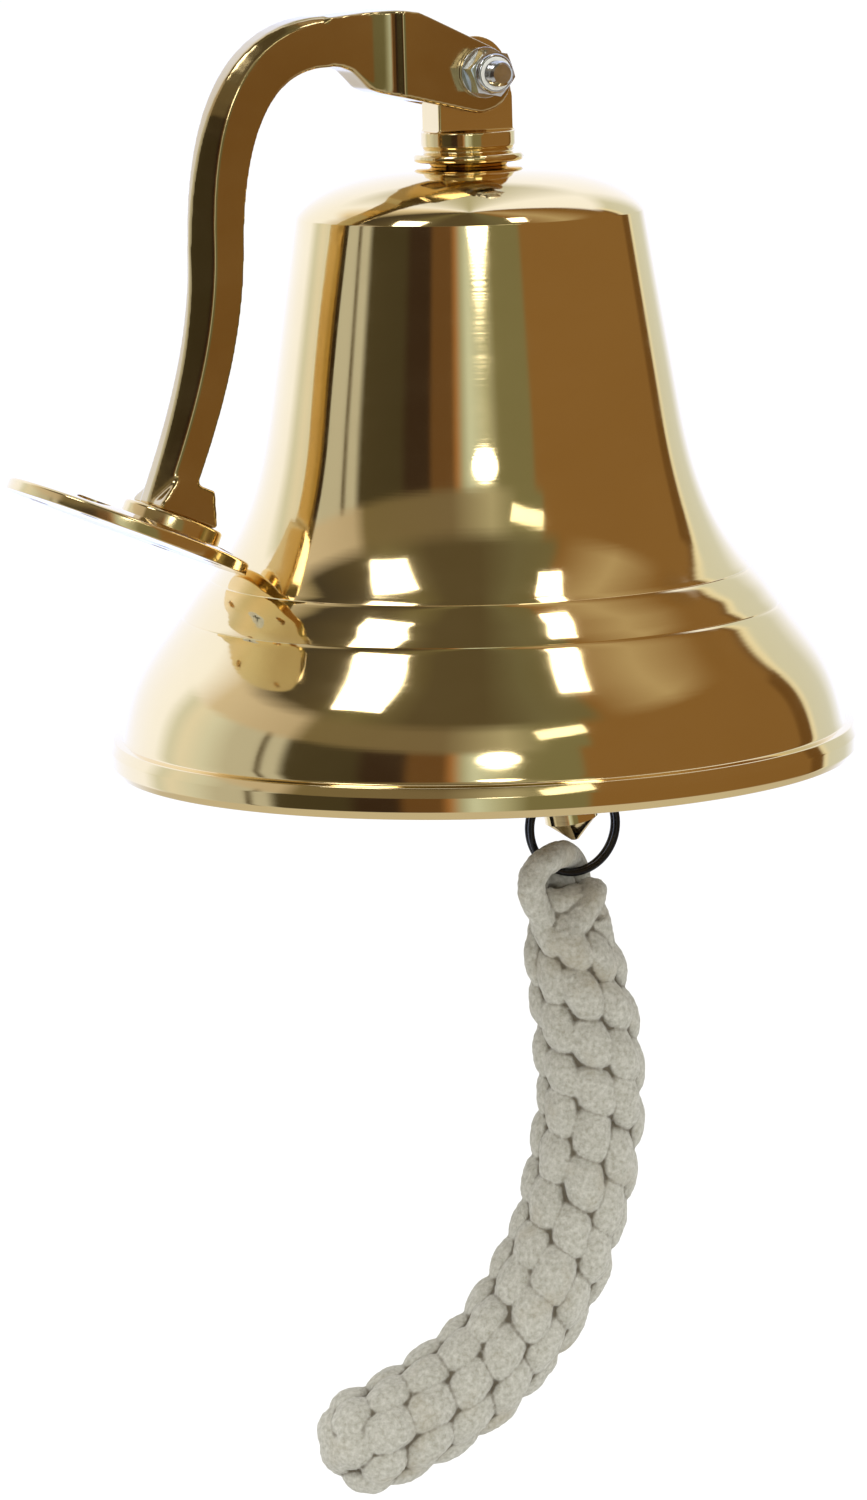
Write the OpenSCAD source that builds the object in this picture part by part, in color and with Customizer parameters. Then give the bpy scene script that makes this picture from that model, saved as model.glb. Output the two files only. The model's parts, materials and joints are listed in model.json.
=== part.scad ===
// Wall-mounted ship bell: a cast bell that swings on a clevis bolt at the
// end of a swan-neck bracket, with a clapper, a split ring and a rope lanyard.
// Origin: centre of the wall plate's back face. The bell's axis is parallel
// to Z and the bracket's plane is XZ.

/* [Bell] */
// Outer diameter of the bell's mouth
mouth_d = 178; // [174:0.5:180]
// Wall thickness of the bell's waist
bell_wall = 3.6; // [3:0.1:4.5]
// Depth of the turned grooves
groove_depth = 0.4; // [0.2:0.1:0.8]

/* [Bracket] */
// Distance from the wall to the pivot bolt when mounted
wall_reach = 129; // [128:0.5:132]
// Height of the plate's centre above the pivot bolt when mounted
plate_rise = 41; // [38:0.5:44]
// Lean of the wall plate's normal from the vertical with the bracket swung in
plate_lean = 23.7; // [22:0.1:25]
// Width of the arm's bar
arm_w = 11; // [10:0.5:15]
// Outside width of the fork
fork_w = 18.5; // [17:0.5:22]
// Diameter of the wall plate
plate_d = 59; // [54:1:60]
// Thickness of the wall plate at its rim
plate_t = 2.8; // [2.4:0.1:4]
// Diameter of the circle of wall screws
screw_pcd = 46; // [42:1:48]
// Diameter of a wall screw's hole
screw_hole_d = 4.5; // [3.5:0.5:5]

/* [Clapper] */
// Diameter of the clapper's ball
ball_d = 30; // [24:1:32]
// Lean of the clapper from the bell's axis
clapper_lean = 10; // [0:1:15]

/* [Lanyard] */
// Radius of the braid just below its eye
braid_r_top = 9.5; // [8:0.5:11]
// Radius of the braid at its fullest
braid_r_full = 13.5; // [11:0.5:14]

/* [Hidden] */
$fn = 96;
eps = 0.01;

// ---- Curves ----
function bez(p, t) = pow(1 - t, 3) * p[0] + 3 * pow(1 - t, 2) * t * p[1]
                     + 3 * (1 - t) * t * t * p[2] + pow(t, 3) * p[3];
function curve(p, n) = [for (i = [0:n]) bez(p, i / n)];
function unit(v) = v / norm(v);
function left_of(v) = [-v[1], v[0]];
// Unit direction of a polyline at its point i
function heading(pts, i) = unit(pts[min(i + 1, len(pts) - 1)] - pts[max(i - 1, 0)]);
// A polyline moved sideways by a distance that runs from d0 to d1
function sideways(pts, d0, d1) =
    [for (i = [0:len(pts) - 1])
        pts[i] + left_of(heading(pts, i)) * (d0 + (d1 - d0) * i / (len(pts) - 1))];
function reversed(v) = [for (i = [len(v) - 1:-1:0]) v[i]];
function joined(a, b) = [for (p = a) p, for (p = b) p];
// Points of a bar along a path in X and Z. Each section is a ring of points, given as the distance
// to the path's left and the distance across
function swept_points(path, sections) =
    [for (i = [0:len(path) - 1]) let (left = left_of(heading(path, i))) for (q = sections[i])
        [path[i][0] + left[0] * q[0], q[1], path[i][1] + left[1] * q[0]]];
function swept_faces(rings, sides) = joined(
    [[for (j = [sides - 1:-1:0]) j], [for (j = [0:sides - 1]) (rings - 1) * sides + j]],
    [for (i = [0:rings - 2]) for (j = [0:sides - 1])
        let (k = (j + 1) % sides)
        [i * sides + j, i * sides + k, (i + 1) * sides + k, (i + 1) * sides + j]]);
module swept(path, sections) {
    polyhedron(swept_points(path, sections), swept_faces(len(path), len(sections[0])));
}

// ---- Where the assemblies sit ----
brass = [0.80, 0.62, 0.27];
steel = [0.75, 0.76, 0.78];
pivot_x = wall_reach * sin(plate_lean) + plate_rise * cos(plate_lean);
pivot_z = wall_reach * cos(plate_lean) - plate_rise * sin(plate_lean);

// Pivot frame: the bolt's middle, with the bell's axis straight down
module at_pivot() { translate([pivot_x, 0, pivot_z]) children(); }
// Wall frame: Z out of the wall, X down the wall when mounted
module at_wall() { rotate([0, plate_lean, 0]) children(); }
// A profile drawn in X and Z, given a width across Y
module across(w) { rotate([90, 0, 0]) linear_extrude(w, center = true) children(); }
module hex_prism(flats, h) { cylinder(h = h, d = flats / cos(30), $fn = 6); }
// A rod along Y whose start is at y0
module along_y(y0, turn = 0) { translate([0, y0, 0]) rotate([-90, 0, 0]) rotate([0, 0, turn]) children(); }

// ---- Wall plate, its collar and the screw from behind ----
screw_count = 4;
countersink_r = 4.2;
countersink_low = 1.6;
countersink_high = 3.4;
plate_r = plate_d / 2;
plate_top = plate_t + 1.2;
plate_flat_r = 22.4;
foot_x = 10;
foot_screw_r = 2.5;
foot_head_r = 5;
foot_head_h = 2.4;
foot_screw_end = 15;
collar_r = 12;
collar_top = 7.6;
plate_profile = [[0, 0], [plate_r, 0], [plate_r, plate_t], [plate_flat_r, plate_top], [0, plate_top]];
// One wall screw's hole with its countersink
sink_profile = [[0, -1], [screw_hole_d / 2, -1], [screw_hole_d / 2, countersink_low],
                [countersink_r, countersink_high], [countersink_r, plate_top + 1], [0, plate_top + 1]];

module wall_plate() {
    color(brass) at_wall() difference() {
        rotate_extrude() polygon(plate_profile);
        for (i = [0:screw_count - 1]) rotate([0, 0, 45 + i * 360 / screw_count])
            translate([screw_pcd / 2, 0, 0]) rotate_extrude() polygon(sink_profile);
        translate([foot_x, 0, -1]) cylinder(h = 9, r = foot_screw_r);
        translate([foot_x, 0, 0]) cylinder(h = foot_head_h, r1 = foot_head_r, r2 = foot_screw_r);
    }
}
module foot_collar() {
    color(brass) at_wall() translate([foot_x, 0, 0]) difference() {
        union() {
            translate([0, 0, plate_top]) cylinder(h = collar_top - 1 - plate_top, r = collar_r);
            translate([0, 0, collar_top - 1]) cylinder(h = 1, r1 = collar_r, r2 = collar_r - 1);
        }
        translate([0, 0, -1]) cylinder(h = collar_top + 2, r = foot_screw_r);
    }
}

module foot_screw() {
    color(steel) at_wall() translate([foot_x, 0, 0]) difference() {
        union() {
            cylinder(h = foot_head_h, r1 = foot_head_r, r2 = foot_screw_r);
            cylinder(h = foot_screw_end, r = foot_screw_r);
        }
        for (turn = [0, 90]) rotate([0, 0, turn]) translate([-2.5, -0.5, -eps]) cube([5, 1, 1.4]);
    }
}

// ---- Bracket arm with its fork ----
arm_steps = 16;
arm_low = curve([[-80.5, -98], [-71, -76], [-65, -58], [-64.5, -38]], arm_steps);
arm_high = curve([[-64.5, -38], [-64, -6], [-53.6, 8.5], [-36.6, 8.5]], arm_steps);
arm_path = joined(arm_low, [for (i = [1:arm_steps]) arm_high[i]]);
// How far the bar reaches outwards and inwards of its path, and how much is ground off its outer edges
arm_at_foot = [5.0, 4.35, 3.0];
arm_at_middle = [6.95, 4.95, 4.6];
arm_at_fork = [6.0, 5.8, 1.4];
function arm_size(u) = u < 0.5 ? arm_at_foot + (arm_at_middle - arm_at_foot) * u * 2
                     : arm_at_middle + (arm_at_fork - arm_at_middle) * (u * 2 - 1);
function arm_section(size) = let (out = size[0], in = size[1], ground = size[2], half = arm_w / 2)
    [[out, ground - half], [out, half - ground], [out - ground, half],
     [-in, half], [-in, -half], [out - ground, -half]];
arm_sections = [for (i = [0:2 * arm_steps]) arm_section(arm_size(i / (2 * arm_steps)))];
fork_end = [-0.5, -1.5];
fork_end_r = 8;
// Directions of the fork's two edges at its round end
fork_top_dir = [0.434, 0.901];
fork_low_dir = [-0.271, -0.962];
fork_profile = [[-37, 14.1], [-28, 14.9], [-20, 15.2], [-15.5, 14.6],
                fork_end + fork_end_r * fork_top_dir,
                fork_end + fork_end_r * fork_low_dir,
                [-24.5, -3.8], [-27, -2.8], [-29, -0.6], [-31, 1.4], [-34, 2.6], [-37, 2.9]];
slot_w = 10.6;
slot_depth_x = -13;
root_half = arm_w / 2 + 0.15;
flare_x0 = -29;
flare_x1 = -20;
bolt_r = 3;
foot_h = 8;
foot_base = [16, 19];
foot_lean_x = 3.2;

// Outline of the arm and fork seen from above, which sets their width
function flare(n) = [for (i = [0:n]) let (a = 90 * i / n)
    [flare_x0 + (flare_x1 - flare_x0) * sin(a), root_half + (fork_w / 2 - root_half) * (1 - cos(a))]];
plan_half = joined([[-120, root_half]], joined(flare(10), [[20, fork_w / 2]]));
plan = joined(plan_half, reversed([for (p = plan_half) [p[0], -p[1]]]));

module bracket_arm() {
    color(brass) difference() {
        union() {
            at_pivot() swept(arm_path, arm_sections);
            at_pivot() intersection() {
                across(60) {
                    polygon(fork_profile);
                    translate(fork_end) circle(fork_end_r);
                }
                translate([0, 0, -140]) linear_extrude(200) polygon(plan);
            }
            arm_foot();
        }
        at_wall() translate([-60, -60, -20]) cube([120, 120, 20 + collar_top]);
        at_wall() translate([foot_x, 0, 0]) cylinder(h = foot_screw_end, r = foot_screw_r);
        at_pivot() translate([slot_depth_x, -slot_w / 2, -20]) cube([40, slot_w, 50]);
        at_pivot() along_y(-30) cylinder(h = 60, r = bolt_r);
    }
}
// The arm's spread foot, which stands on the collar
module arm_foot() {
    at_wall() hull() {
        translate([foot_x, 0, collar_top]) linear_extrude(1.2)
            square([foot_base[0] - 1, foot_base[1] - 1], center = true);
        translate([foot_x + foot_lean_x * 0.15, 0, collar_top + foot_h]) linear_extrude(0.4)
            square([arm_at_foot[0] + arm_at_foot[1] + 0.6, arm_w + 0.6], center = true);
    }
}

// ---- Pivot bolt, washers and lock nut ----
washer_r = 6;
washer_t = 1.4;
head_h = 4;
head_flats = 10;
nut_h = 4.8;
nut_collar_h = 1.4;
nut_collar_r = 4.6;
bolt_stick_out = 3.4;
insert_r = 3.9;
insert_t = 1.2;
nut_turn = 11;
fork_face = fork_w / 2;
nut_face = fork_face + washer_t;
nut_end = nut_face + nut_h + nut_collar_h;

module pivot_bolt() {
    color(steel) at_pivot() {
        along_y(fork_face + washer_t) hex_prism(head_flats, head_h);
        along_y(-nut_end - bolt_stick_out + 0.8)
            cylinder(h = nut_end + bolt_stick_out - 0.8 + fork_face + washer_t + eps, r = bolt_r);
        along_y(-nut_end - bolt_stick_out) cylinder(h = 0.8, r1 = bolt_r - 0.7, r2 = bolt_r);
    }
}
module flat_washer() {
    difference() {
        cylinder(h = washer_t, r = washer_r);
        translate([0, 0, -1]) cylinder(h = washer_t + 2, r = bolt_r);
    }
}
module bolt_washer() { color(steel) at_pivot() along_y(fork_face) flat_washer(); }
module nut_washer() { color(steel) at_pivot() along_y(-nut_face) flat_washer(); }
module lock_nut() {
    color(steel) at_pivot() difference() {
        union() {
            along_y(-nut_face - nut_h, nut_turn) hex_prism(head_flats, nut_h);
            along_y(-nut_end) cylinder(h = nut_collar_h + eps, r = nut_collar_r);
        }
        along_y(-nut_end - 1) cylinder(h = nut_h + nut_collar_h + 2, r = bolt_r);
        along_y(-nut_end - eps) cylinder(h = insert_t + eps, r = insert_r);
    }
}
module nylon_insert() {
    color([0.86, 0.86, 0.80]) at_pivot() difference() {
        along_y(-nut_end) cylinder(h = insert_t, r = insert_r);
        along_y(-nut_end - 1) cylinder(h = insert_t + 2, r = bolt_r);
    }
}

// ---- Bell ----
// The profile is radius against height, with the shoulder's edge at height 0
shoulder_z = -33;
shoulder_r = 41.2;
mouth_r = mouth_d / 2;
lip_top = -121.5;
lip_low = -129.3;
lip_root_r = 86;
crown_top = 11;
waist_low = [48.7, -46.5];
flare_mid = [68.2, -88.8];
bell_steps = 26;
waist = [for (i = [0:8]) [shoulder_r, 0] + (waist_low - [shoulder_r, 0]) * i / 8];
flare_a = curve([waist_low, [53.5, -76.5], [63.5, -82], flare_mid], bell_steps);
flare_b = curve([flare_mid, [78.4, -103], [83, -105.5], [lip_root_r, lip_top]], bell_steps);
skirt = joined(waist, joined([for (i = [1:bell_steps]) flare_a[i]],
                             [for (i = [1:bell_steps]) flare_b[i]]));
dome = curve([[shoulder_r, 0], [38, 6.2], [25, crown_top], [11, crown_top]], 16);
lip = [[lip_root_r, lip_top], [mouth_r - 1.2, lip_top - 0.5], [mouth_r - 0.3, lip_top - 2.5],
       [mouth_r, lip_low + 2], [mouth_r - 1, lip_low + 0.4], [mouth_r - 3, lip_low],
       [mouth_r - 9, lip_low + 1.2]];
dome_wall = 5.4;
inner_skirt = sideways(skirt, -bell_wall, -bell_wall - 2.2);
inner_dome = curve([[shoulder_r - bell_wall, -4.5], [34, 0.8], [25, crown_top - dome_wall],
                    [14, crown_top - dome_wall]], 12);
// Heights of the two grooves round the flare, and the thread hole's radius
groove_heights = [-84.4, -93.1];
shank_r = 5;

// Radius of a falling profile at a height
function radius_at(pts, z) = max([for (i = [0:len(pts) - 2])
    if (pts[i][1] >= z && pts[i + 1][1] <= z)
        pts[i][0] + (pts[i + 1][0] - pts[i][0]) * (pts[i][1] - z) / (pts[i][1] - pts[i + 1][1] + eps / 100)]);
bell_outline = joined(
    joined([[0, crown_top]], joined(reversed(dome), [for (i = [1:len(skirt) - 1]) skirt[i]])),
    joined([for (i = [1:len(lip) - 1]) lip[i]],
           joined(reversed([for (p = inner_skirt) if (p[1] < -5) p]),
                  joined(inner_dome, [[0, crown_top - dome_wall]]))));

module bell_body() {
    color(brass) at_pivot() translate([0, 0, shoulder_z]) difference() {
        rotate_extrude() polygon(bell_outline);
        for (z = groove_heights) rotate_extrude()
            translate([radius_at(skirt, z), z]) circle(groove_depth, $fn = 16);
        translate([0, 0, -10]) cylinder(h = 30, r = shank_r);
    }
}

// ---- Crown: stem with its tongue, washer, nut and the clapper's eye ----
stem_base = shoulder_z + crown_top;
stem_r = 11.2;
tongue_t = 10;
tongue_half = 9.5;
tongue_top_r = 8.3;
tongue_foot = -13.8;
hinge_gap = 0.08;
eye_bore_r = 2.5;
shank_end = -42;
crown_seat = stem_base - dome_wall;
crown_washer_t = 2;
crown_nut_h = 8;
stem_profile = [[0, tongue_foot], [stem_r, tongue_foot], [stem_r, -17.2], [10.4, -18.2],
                [10.9, -18.8], [12.6, -19], [13.1, -19.9], [12.6, -20.9], [9.2, -21.2],
                [9, stem_base], [shank_r, stem_base], [shank_r, shank_end], [0, shank_end]];

module crown_stem() {
    color(brass) at_pivot() difference() {
        union() {
            rotate_extrude() polygon(stem_profile);
            intersection() {
                across(tongue_t) union() {
                    circle(tongue_top_r);
                    polygon([[-tongue_top_r, 0], [tongue_top_r, 0], [tongue_half, -6],
                             [tongue_half, tongue_foot - 1], [-tongue_half, tongue_foot - 1],
                             [-tongue_half, -6]]);
                }
                translate([0, 0, -20]) cylinder(h = 40, r = stem_r);
            }
        }
        along_y(-20) cylinder(h = 40, r = bolt_r + hinge_gap);
        translate([0, 0, shank_end - 1]) cylinder(h = 9, r = eye_bore_r);
    }
}
module crown_washer() {
    color(brass) at_pivot() translate([0, 0, crown_seat - crown_washer_t]) difference() {
        cylinder(h = crown_washer_t, r = 12);
        translate([0, 0, -1]) cylinder(h = crown_washer_t + 2, r = shank_r);
    }
}
module crown_nut() {
    color(brass) at_pivot() translate([0, 0, crown_seat - crown_washer_t - crown_nut_h]) difference() {
        hex_prism(17, crown_nut_h);
        translate([0, 0, -1]) cylinder(h = crown_nut_h + 2, r = shank_r);
    }
}

wire_r = 1.5;
wire_gap = 0.35;
eye_r = 5.5;
eye_z = -50;
// A wire ring in the XZ plane
module wire_ring(r, w) { rotate([90, 0, 0]) rotate_extrude() translate([r, 0]) circle(w, $fn = 32); }
module clapper_eye() {
    color(brass) at_pivot() {
        translate([0, 0, eye_z]) wire_ring(eye_r, wire_r);
        translate([0, 0, eye_z + eye_r]) cylinder(h = shank_end - 0.2 - eye_z - eye_r + 8, r = eye_bore_r);
    }
}

// ---- Clapper ----
// Clapper frame: the link's top wire, with the clapper straight down
swing_z = eye_z - eye_r + 2 * wire_r + wire_gap;
module at_clapper() { at_pivot() translate([0, 0, swing_z]) rotate([0, -clapper_lean, 0]) children(); }
link_len = 16;
link_half = 5;
module half_loop(r, w) {
    rotate([90, 0, 90]) rotate_extrude(angle = 180) translate([r, 0]) circle(w, $fn = 32);
}
module clapper_link() {
    color(brass) at_clapper() {
        translate([0, 0, -link_half]) half_loop(link_half, wire_r);
        translate([0, 0, -link_len + link_half]) rotate([180, 0, 0]) half_loop(link_half, wire_r);
        for (side = [-1, 1]) translate([0, side * link_half, -link_len + link_half])
            cylinder(h = link_len - 2 * link_half, r = wire_r, $fn = 32);
    }
}

rod_eye_r = 4.2;
sway_l = link_len - 2 * wire_r - wire_gap;
rod_r = 3.4;
ball_l = 98;
ball_bore_r = rod_r;
tail_top_l = ball_l + ball_d / 2 - 2;
tail_r = 6.5;
tail_cone_l = 129.5;
tail_tip_l = 135;
tail_tip_r = 1;
ring_hole_l = 121;
ring_hole_r = 3;

module clapper_rod() {
    color(brass) at_clapper() {
        translate([0, 0, -sway_l - rod_eye_r]) wire_ring(rod_eye_r, wire_r);
        translate([0, 0, -ball_l - ball_d / 2 - 4])
            cylinder(h = ball_l + ball_d / 2 + 4 - sway_l - 2 * rod_eye_r, r = rod_r);
    }
}
module clapper_ball() {
    color(brass) at_clapper() translate([0, 0, -ball_l]) difference() {
        sphere(d = ball_d);
        translate([0, 0, -ball_d]) cylinder(h = 2 * ball_d, r = ball_bore_r);
        translate([0, 0, -ball_d / 2 - eps]) cylinder(h = 2 + eps, r = tail_r - 1);
    }
}
module clapper_tail() {
    color(brass) at_clapper() difference() {
        rotate_extrude() polygon([[0, -tail_top_l], [tail_r - 1, -tail_top_l], [tail_r - 1, -tail_top_l - 3],
                                  [tail_r, -tail_top_l - 4], [tail_r, -tail_cone_l],
                                  [tail_tip_r, -tail_tip_l + 0.4], [0, -tail_tip_l]]);
        translate([0, 0, -ball_l - ball_d / 2 - 4]) cylinder(h = 10, r = rod_r);
        translate([0, 0, -ring_hole_l]) rotate([0, 90, 0]) cylinder(h = 40, r = ring_hole_r, center = true);
    }
}

// ---- Split ring ----
// Ring frame: the ring's centre, with its plane in XZ
ring_r = 11.4;
ring_wire_r = 0.85;
ring_drop = 10.3;
ring_l = ring_hole_l + ring_drop;
ring_x = ring_l * sin(clapper_lean);
ring_z = swing_z - ring_l * cos(clapper_lean);
module at_ring() { at_pivot() translate([ring_x, 0, ring_z]) children(); }
module split_ring() {
    color([0.1, 0.1, 0.11]) at_ring() rotate([90, 0, 0]) rotate_extrude() for (side = [-0.8, 0.8])
        translate([ring_r, side]) circle(ring_wire_r, $fn = 24);
}

// ---- Lanyard ----
eye_from_down = 24;
eye_half_arc = 44;
eye_rope_r = 6.1;
eye_hole_r = 2.3;
cotton = [0.78, 0.74, 0.66];
module lanyard_eye() {
    color(cotton) at_ring() rotate([90, 0, 0])
        rotate([0, 0, -90 - eye_from_down - eye_half_arc]) rotate_extrude(angle = 2 * eye_half_arc)
            translate([ring_r, 0]) difference() {
                circle(eye_rope_r);
                circle(eye_hole_r, $fn = 48);
            }
}

// The braid's route from the eye to its rounded end, in the pivot frame
braid_route = [[19.5, -197], [20.5, -206], [22.5, -216], [24.5, -226], [25.5, -236], [26, -246],
               [25, -256], [23, -266], [20, -276], [16, -286], [10.5, -295], [3.5, -304],
               [-5, -312], [-15, -318], [-26, -322.5], [-37, -326], [-47, -329]];
// Radius along the route, as shares of its rings from the top
function braid_r(u) = u < 0.3 ? braid_r_top + (braid_r_full - braid_r_top) * sin(u / 0.3 * 90)
                    : u > 0.9 ? braid_r_full * sqrt(max(0.12, 1 - pow((u - 0.9) / 0.108, 2)))
                    : braid_r_full;
braid_sides = 10;
braid_n = len(braid_route);
function braid_section(r) = [for (j = [0:braid_sides - 1])
    let (a = 360 * j / braid_sides) [r * cos(a), r * sin(a)]];
braid_sections = [for (i = [0:braid_n - 1]) braid_section(braid_r(i / (braid_n - 1)))];
module lanyard_braid() { color(cotton) at_pivot() swept(braid_route, braid_sections); }

wall_plate();
foot_collar();
foot_screw();
bracket_arm();
pivot_bolt();
bolt_washer();
nut_washer();
lock_nut();
nylon_insert();
bell_body();
crown_stem();
crown_washer();
crown_nut();
clapper_eye();
clapper_link();
clapper_rod();
clapper_ball();
clapper_tail();
split_ring();
lanyard_eye();
lanyard_braid();
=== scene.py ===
"""Looks for the wall-mounted ship bell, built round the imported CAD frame."""
import json
import math
import random

import bmesh
import bpy
import numpy as np
from mathutils import Matrix, Vector, noise

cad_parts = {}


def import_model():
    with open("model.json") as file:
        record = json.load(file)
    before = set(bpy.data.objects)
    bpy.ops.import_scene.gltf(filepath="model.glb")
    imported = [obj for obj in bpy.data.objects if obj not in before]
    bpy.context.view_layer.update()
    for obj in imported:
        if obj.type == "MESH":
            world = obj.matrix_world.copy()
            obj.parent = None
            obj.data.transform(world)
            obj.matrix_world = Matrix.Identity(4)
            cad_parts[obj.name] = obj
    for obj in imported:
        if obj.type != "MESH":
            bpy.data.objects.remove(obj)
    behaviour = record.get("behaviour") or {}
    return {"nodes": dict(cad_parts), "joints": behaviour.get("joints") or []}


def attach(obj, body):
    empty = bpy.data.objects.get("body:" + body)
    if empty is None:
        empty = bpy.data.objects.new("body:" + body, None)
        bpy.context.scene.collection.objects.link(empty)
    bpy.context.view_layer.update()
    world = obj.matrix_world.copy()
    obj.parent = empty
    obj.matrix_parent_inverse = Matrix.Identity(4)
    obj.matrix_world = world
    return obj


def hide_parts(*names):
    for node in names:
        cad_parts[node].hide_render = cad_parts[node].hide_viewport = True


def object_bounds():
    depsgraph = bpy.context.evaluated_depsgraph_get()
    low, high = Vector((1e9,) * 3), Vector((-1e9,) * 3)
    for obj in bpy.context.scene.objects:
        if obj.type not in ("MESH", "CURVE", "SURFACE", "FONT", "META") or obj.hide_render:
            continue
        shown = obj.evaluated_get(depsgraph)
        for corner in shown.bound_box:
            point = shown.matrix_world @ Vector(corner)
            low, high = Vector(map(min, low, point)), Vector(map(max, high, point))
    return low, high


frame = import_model()
cad_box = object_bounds()

MM = 0.001
JOINTS = {j["name"]: j for j in frame["joints"]}
PIVOT = Vector(JOINTS["bell_swing"]["pos_m"])
RING = Vector(JOINTS["lanyard_slide"]["pos_m"])
PLATE_LEAN = math.radians(23.7)


def at(x, y, z):
    """A point given in mm from the pivot bolt's middle."""
    return PIVOT + Vector((x, y, z)) * MM


# ---------------------------------------------------------------- camera
CAMERA_AT = (-588.5, -1292.2, 74.5)
CAMERA_AIM = (-11.0, 4.9, -160.6)
CAMERA_ROLL = math.radians(-1.6)
CAMERA_LENS = 145.1
CAMERA_AZIMUTH = -24

camera = bpy.data.objects.new("camera", bpy.data.cameras.new("camera"))
bpy.context.scene.collection.objects.link(camera)
bpy.context.scene.camera = camera
camera.data.lens = CAMERA_LENS
camera.data.clip_start = 0.05
camera.data.clip_end = 100
camera.location = at(*CAMERA_AT)
look = at(*CAMERA_AIM) - at(*CAMERA_AT)
camera.rotation_mode = "QUATERNION"
camera.rotation_quaternion = (look.to_track_quat("-Z", "Y")
                              @ Matrix.Rotation(CAMERA_ROLL, 3, "Z").to_quaternion())


# ---------------------------------------------------------------- curves and meshes
def bezier(a, b, c, d, count):
    """Points on a cubic from a to d, without a itself."""
    out = []
    for i in range(1, count + 1):
        t = i / count
        w = ((1 - t) ** 3, 3 * (1 - t) ** 2 * t, 3 * (1 - t) * t * t, t ** 3)
        out.append(tuple(sum(k * p[n] for k, p in zip(w, (a, b, c, d))) for n in range(len(a))))
    return out


def filleted(points, steps=5):
    """A 2-D outline whose points may carry a third number, the radius of that corner."""
    out = []
    for i, p in enumerate(points):
        if len(p) < 3 or i in (0, len(points) - 1):
            out.append(tuple(p[:2]))
            continue
        here = Vector(p[:2])
        before = (Vector(points[i - 1][:2]) - here).normalized()
        after = (Vector(points[i + 1][:2]) - here).normalized()
        turn = before.angle(after)
        reach = p[2] / math.tan(turn / 2)
        start, end = here + before * reach, here + after * reach
        centre = here + (before + after).normalized() * p[2] / math.sin(turn / 2)
        for k in range(steps + 1):
            spoke = (start - centre).slerp(end - centre, k / steps)
            out.append(tuple(centre + spoke.normalized() * p[2]))
    return out


def new_object(name, mesh, sharp=30):
    """A linked object, smooth but for edges sharper than the angle."""
    obj = bpy.data.objects.new(name, mesh)
    bpy.context.scene.collection.objects.link(obj)
    mesh.shade_smooth()
    if sharp:
        mesh.set_sharp_from_angle(angle=math.radians(sharp))
    return obj


def mesh_of(name, verts, faces):
    mesh = bpy.data.meshes.new(name)
    mesh.from_pydata(verts, [], faces)
    mesh.validate()
    return mesh


def lathe(name, outline, place, around=160, loop=False, sharp=30):
    """Turns an outline of (radius, height) in mm about the local Z of place, a matrix in metres."""
    verts, faces, rings = [], [], []
    for r, z in outline:
        if r < 1e-6:
            rings.append([len(verts)])
            verts.append(place @ Vector((0, 0, z * MM)))
            continue
        rings.append(list(range(len(verts), len(verts) + around)))
        for k in range(around):
            a = 2 * math.pi * k / around
            verts.append(place @ (Vector((r * math.cos(a), r * math.sin(a), z)) * MM))
    pairs = list(zip(rings, rings[1:]))
    if loop:
        pairs.append((rings[-1], rings[0]))
    for a, b in pairs:
        for k in range(around):
            n = (k + 1) % around
            face = [a[k % len(a)], a[n % len(a)], b[n % len(b)], b[k % len(b)]]
            face = list(dict.fromkeys(face))
            if len(face) > 2:
                faces.append(face)
    mesh = mesh_of(name, verts, faces)
    outward(mesh)
    return new_object(name, mesh, sharp)


def outward(mesh):
    """Turns a closed mesh's faces outwards."""
    bm = bmesh.new()
    bm.from_mesh(mesh)
    bmesh.ops.recalc_face_normals(bm, faces=bm.faces)
    if bm.calc_volume(signed=True) < 0:
        bmesh.ops.reverse_faces(bm, faces=bm.faces)
    bm.to_mesh(mesh)
    bm.free()


def capped(rows, around):
    """The faces of a solid whose points come in rows of a number around, with a cap at each end."""
    faces = []
    for i in range(rows - 1):
        for k in range(around):
            n = (k + 1) % around
            faces.append([i * around + k, i * around + n, (i + 1) * around + n, (i + 1) * around + k])
    faces.append(list(range(around))[::-1])
    faces.append([(rows - 1) * around + k for k in range(around)])
    return faces


def tube(path, radius, sides, squash=1.0, flat=None):
    """Verts and faces of a tube along points in metres. radius is a number or one per point.
    flat is the direction in which its section is squashed."""
    verts = []
    side = Vector((0, 1, 0))
    for i, p in enumerate(path):
        ahead = path[min(i + 1, len(path) - 1)]
        behind = path[max(i - 1, 0)]
        along = (ahead - behind).normalized()
        side = flat.copy() if flat else side
        side = (side - along * side.dot(along)).normalized()
        other = along.cross(side)
        r = radius[i] if hasattr(radius, "__len__") else radius
        for k in range(sides):
            a = 2 * math.pi * k / sides
            verts.append(p + side * (r * squash * math.cos(a)) + other * (r * math.sin(a)))
    return verts, capped(len(path), sides)


def applied(obj):
    """Gives obj the mesh that its modifiers make."""
    done = bpy.data.meshes.new_from_object(obj.evaluated_get(bpy.context.evaluated_depsgraph_get()))
    obj.modifiers.clear()
    obj.data = done


def cut(obj, tool, how="DIFFERENCE"):
    """Combines obj with a tool object, which goes away."""
    step = obj.modifiers.new("cut", "BOOLEAN")
    step.operation = how
    step.object = tool
    step.solver = "EXACT"
    applied(obj)
    bpy.data.objects.remove(tool)


def chamfered(obj, width):
    """Breaks the edges sharper than 30 degrees by a width in mm."""
    step = obj.modifiers.new("edges", "BEVEL")
    step.width = width * MM
    step.segments = 2
    step.limit_method = "ANGLE"
    step.angle_limit = math.radians(30)
    applied(obj)
    obj.data.shade_smooth()
    obj.data.set_sharp_from_angle(angle=math.radians(40))
    return obj


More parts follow.
